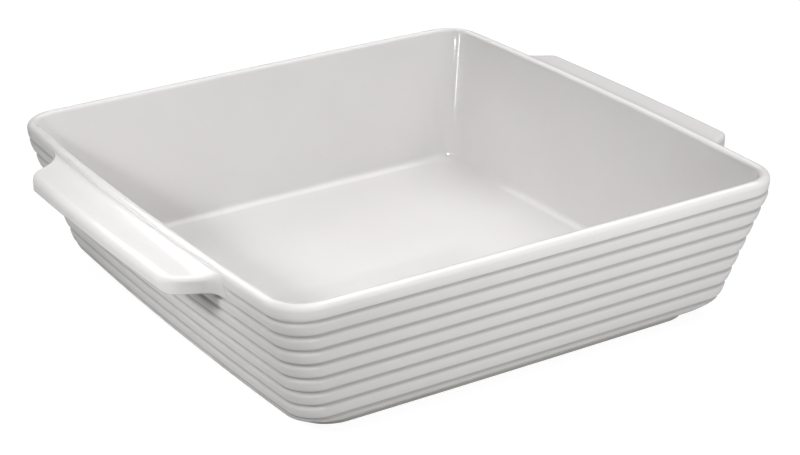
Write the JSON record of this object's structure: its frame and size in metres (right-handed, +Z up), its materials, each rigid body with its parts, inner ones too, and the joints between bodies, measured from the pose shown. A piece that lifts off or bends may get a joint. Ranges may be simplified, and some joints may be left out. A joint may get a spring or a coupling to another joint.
{
  "type": "gratin dish",
  "caption": "Nearly square white porcelain gratin dish with flared ribbed walls, a rounded rim, a smooth inside, a low foot ring and a flat ledge handle on each end wall.",
  "frame": {"origin": "middle of the underside, on the plane that the foot ring stands on", "axes": "+X from the left handle to the right handle, +Y from the front wall to the back wall, +Z up out of the dish"},
  "size_m": [0.3038, 0.269, 0.0725],
  "materials": {
    "glazed_porcelain": "white porcelain under a clear gloss glaze; the foot ring is wiped free of glaze"
  },
  "bodies": {
    "root": {"dish_body": "glazed_porcelain", "left_handle": "glazed_porcelain", "right_handle": "glazed_porcelain"}
  },
  "joints": []
}
